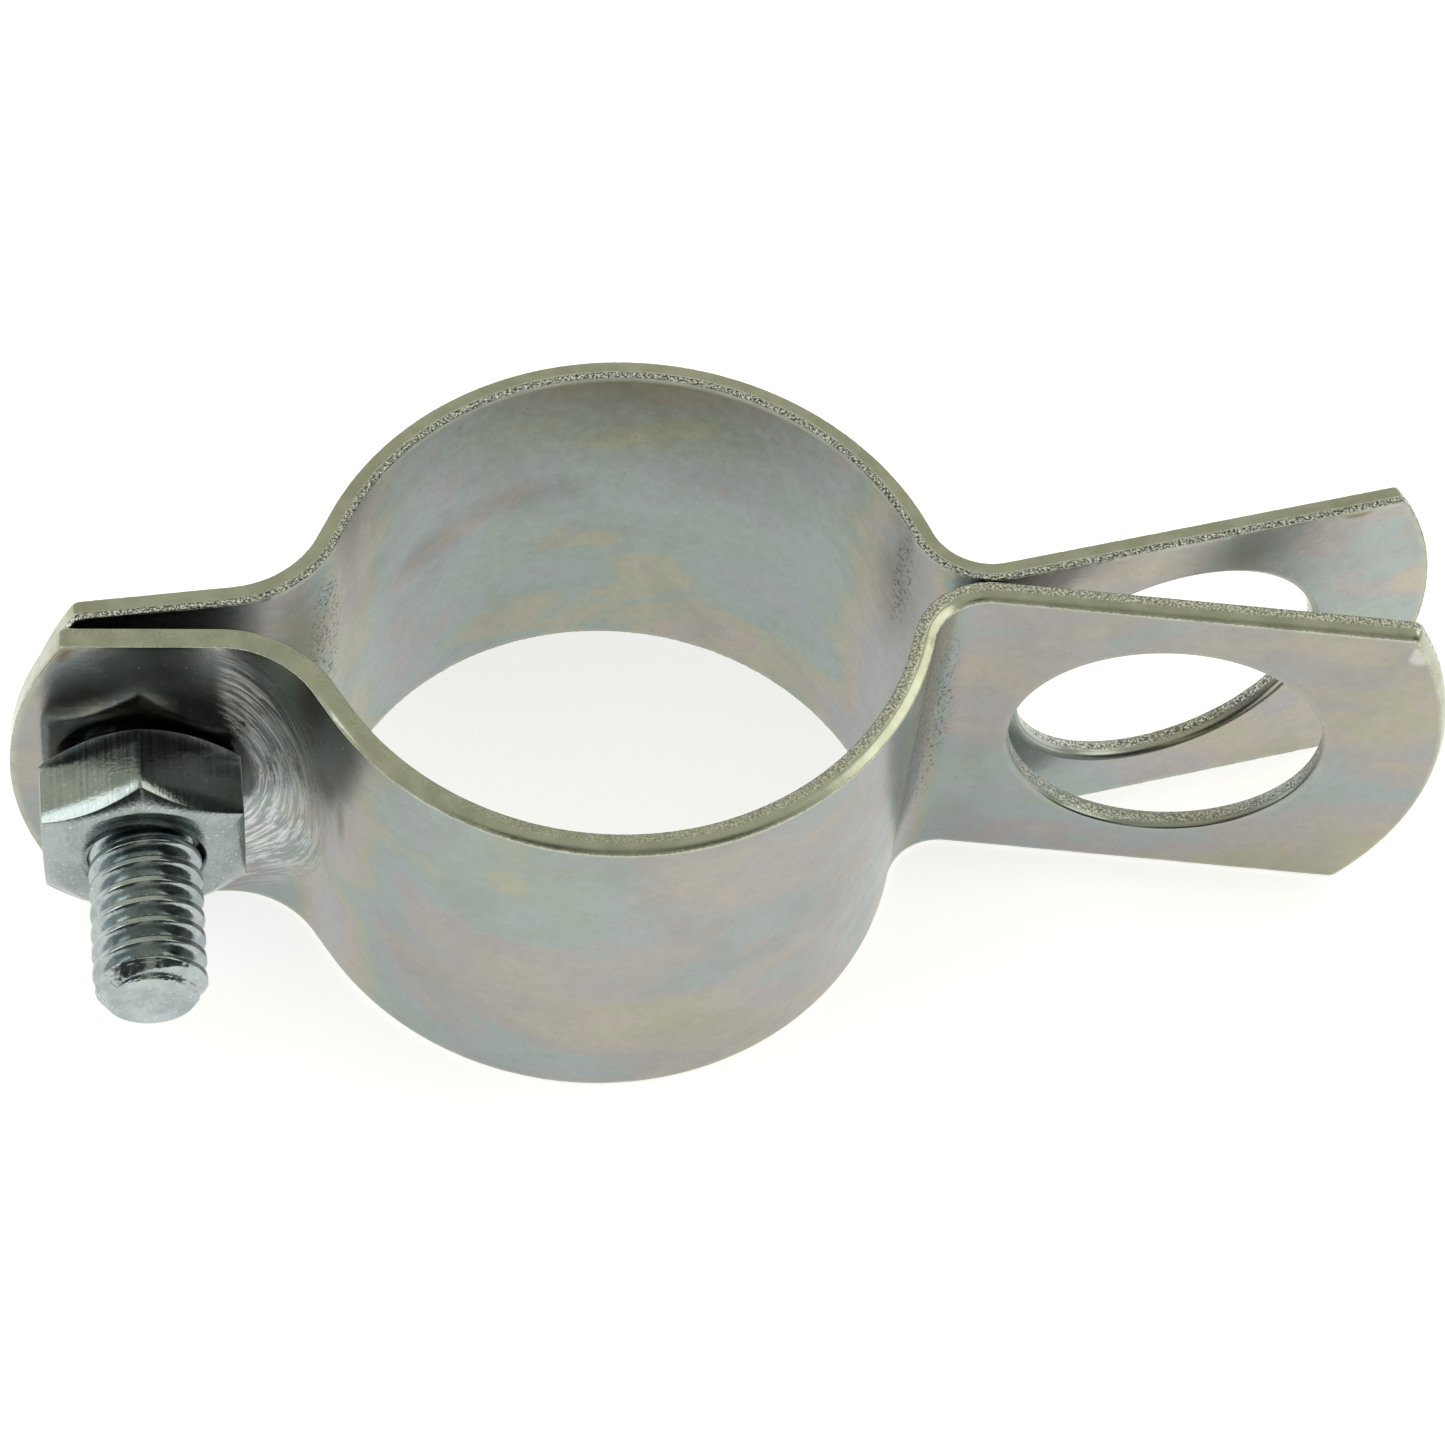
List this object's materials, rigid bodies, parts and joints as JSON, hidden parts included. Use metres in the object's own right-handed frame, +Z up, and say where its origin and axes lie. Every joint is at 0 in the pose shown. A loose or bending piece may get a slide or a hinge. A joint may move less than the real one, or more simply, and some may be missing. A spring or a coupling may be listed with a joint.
{
  "type": "split hose clamp",
  "caption": "Split hose clamp: mirrored steel bands with shackle eyes on flared ears, closed at the other end by a round head bolt and a hex nut.",
  "frame": {"origin": "on the hose axis, level with the lower edges of the bands", "axes": "+X along the clamp from the bolt to the shackle eyes, +Y from the nut to the bolt's head, +Z up along the hose"},
  "size_m": [0.082, 0.0327, 0.0254],
  "materials": {
    "band_zinc": "zinc plated with a faint yellow and blue tint",
    "bolt_zinc": "bright zinc plated thread",
    "nut_zinc": "bright zinc plated"
  },
  "bodies": {
    "rear_half": {"rear_band": "band_zinc"},
    "bolt": {"round_head_bolt": "bolt_zinc"},
    "front_half": {"front_band": "band_zinc"},
    "nut": {"hex_nut": "nut_zinc"}
  },
  "joints": [
    {"name": "bolt_swing", "type": "hinge", "parent": "rear_half", "child": "bolt", "pos_m": [-0.02659, 0.00205, 0.0127], "axis": [0, -1, 0], "continuous": true},
    {"name": "half_opening", "type": "slide", "parent": "bolt", "child": "front_half", "axis": [0, -1, 0], "range_m": [0, 0.00762]},
    {"name": "nut_turn", "type": "hinge", "parent": "front_half", "child": "nut", "pos_m": [-0.02659, -0.00204, 0.0127], "axis": [0, -1, 0], "range_deg": [0, 2340]}
  ],
  "couplings": [
    {"joint": "nut_turn", "follows": "half_opening", "rad_per_m": 4947.4}
  ]
}
